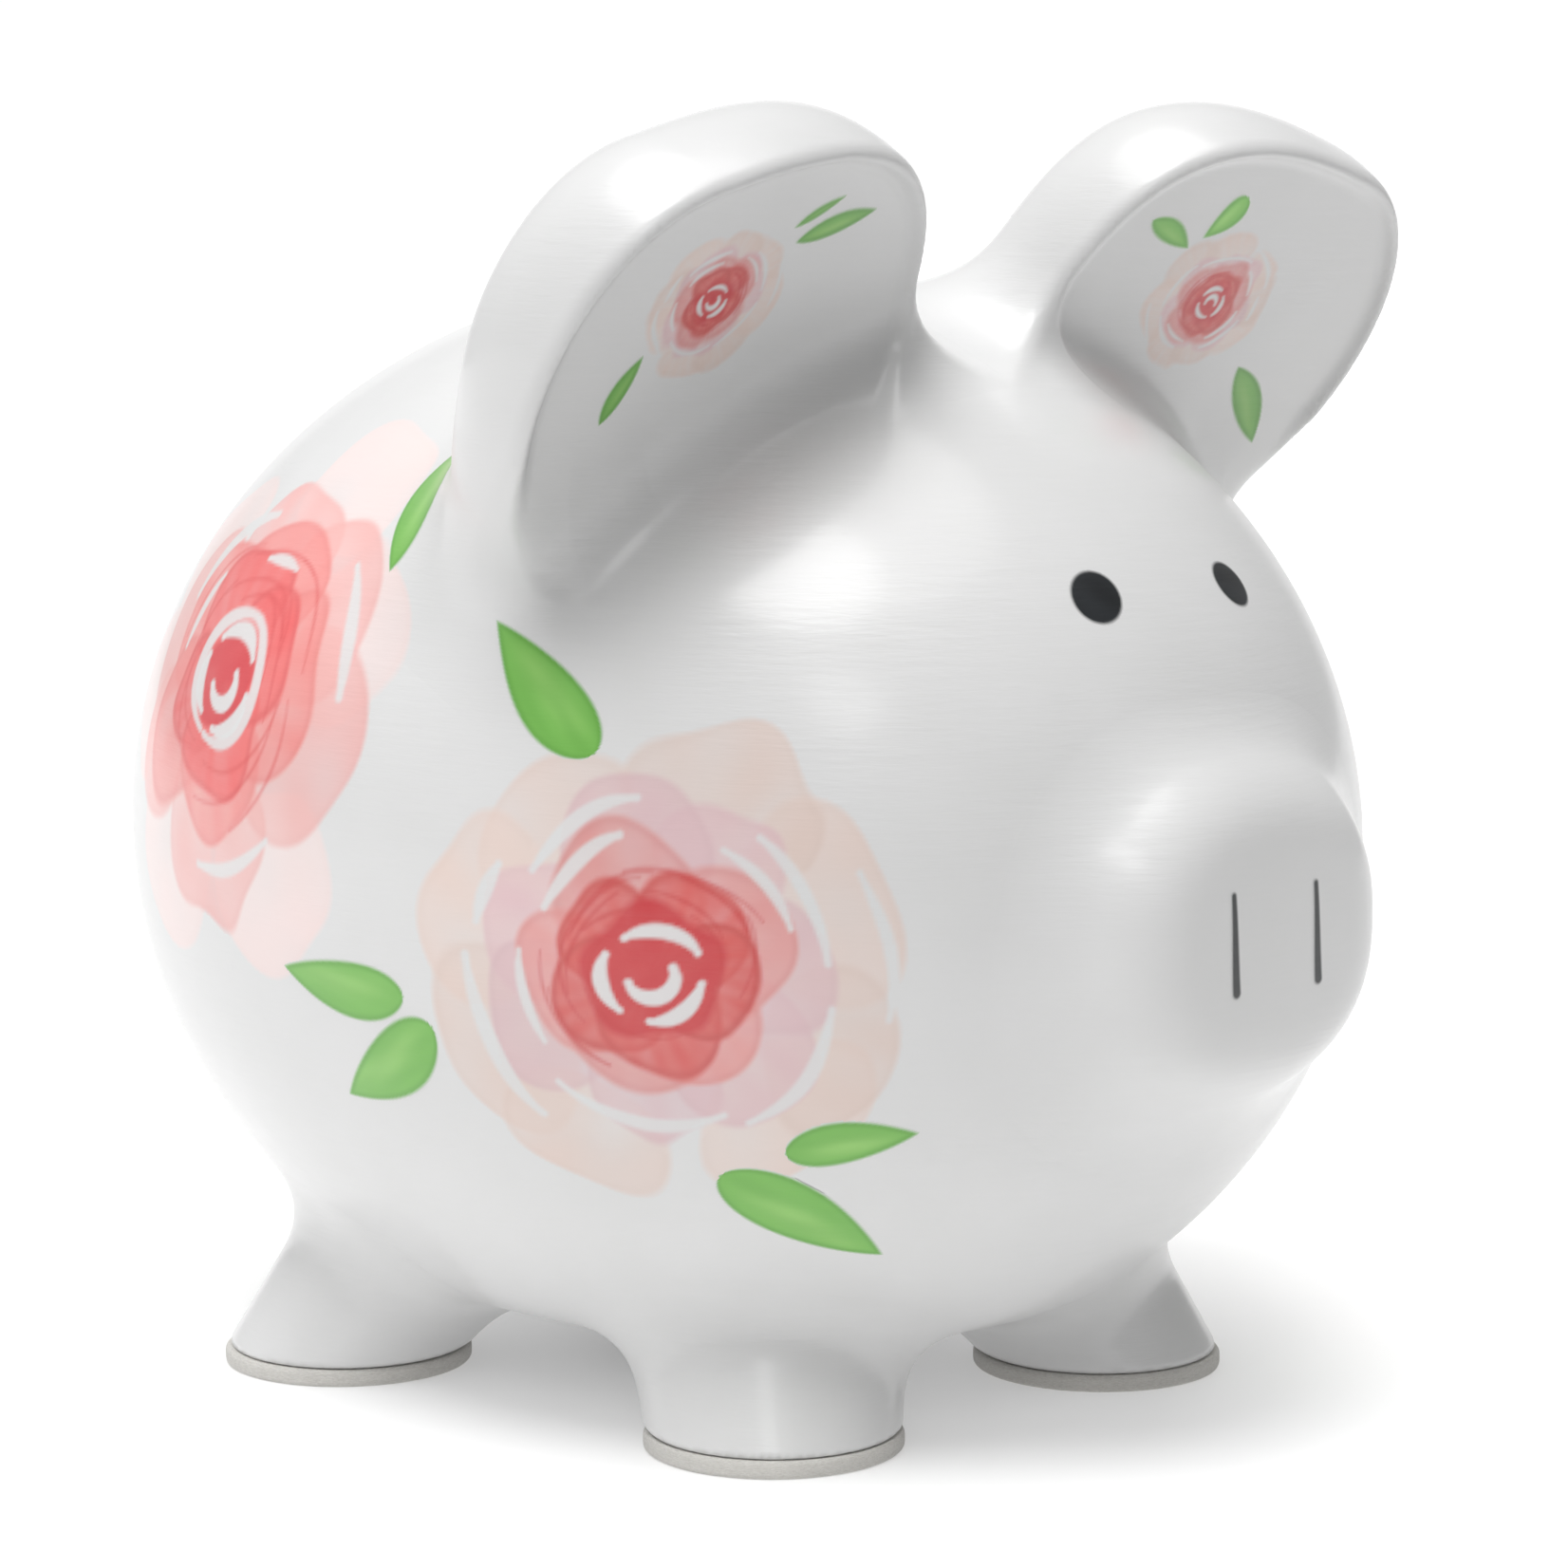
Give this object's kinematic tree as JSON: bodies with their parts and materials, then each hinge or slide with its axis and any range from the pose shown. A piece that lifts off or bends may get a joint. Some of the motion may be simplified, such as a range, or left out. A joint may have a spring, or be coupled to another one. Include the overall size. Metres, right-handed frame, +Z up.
{
  "type": "piggy bank",
  "caption": "Round ceramic pig-shaped coin bank with upright ears, a coin slot in its back and a rubber stopper in its belly; stands on padded feet.",
  "frame": {"origin": "on the ground under the middle of the body, between the four feet", "axes": "+Z up, the pig faces -Y, +X is the pig's left"},
  "size_m": [0.1608, 0.2044, 0.1811],
  "materials": {
    "glazed_ceramic": "white satin-gloss glaze with painted flowers",
    "stopper_rubber": "matte moulded",
    "foot_felt": "pressed felt"
  },
  "bodies": {
    "root": {"body_shell": "glazed_ceramic", "snout": "glazed_ceramic", "left_ear": "glazed_ceramic", "right_ear": "glazed_ceramic", "front_left_leg": "glazed_ceramic", "front_right_leg": "glazed_ceramic", "rear_left_leg": "glazed_ceramic", "rear_right_leg": "glazed_ceramic", "tail": "glazed_ceramic", "front_left_pad": "foot_felt", "front_right_pad": "foot_felt", "rear_left_pad": "foot_felt", "rear_right_pad": "foot_felt"},
    "stopper": {"belly_stopper": "stopper_rubber"}
  },
  "joints": [
    {"name": "stopper_pull", "type": "slide", "parent": "root", "child": "stopper", "axis": [0, 0, -1], "range_m": [0, 0.0078]}
  ]
}
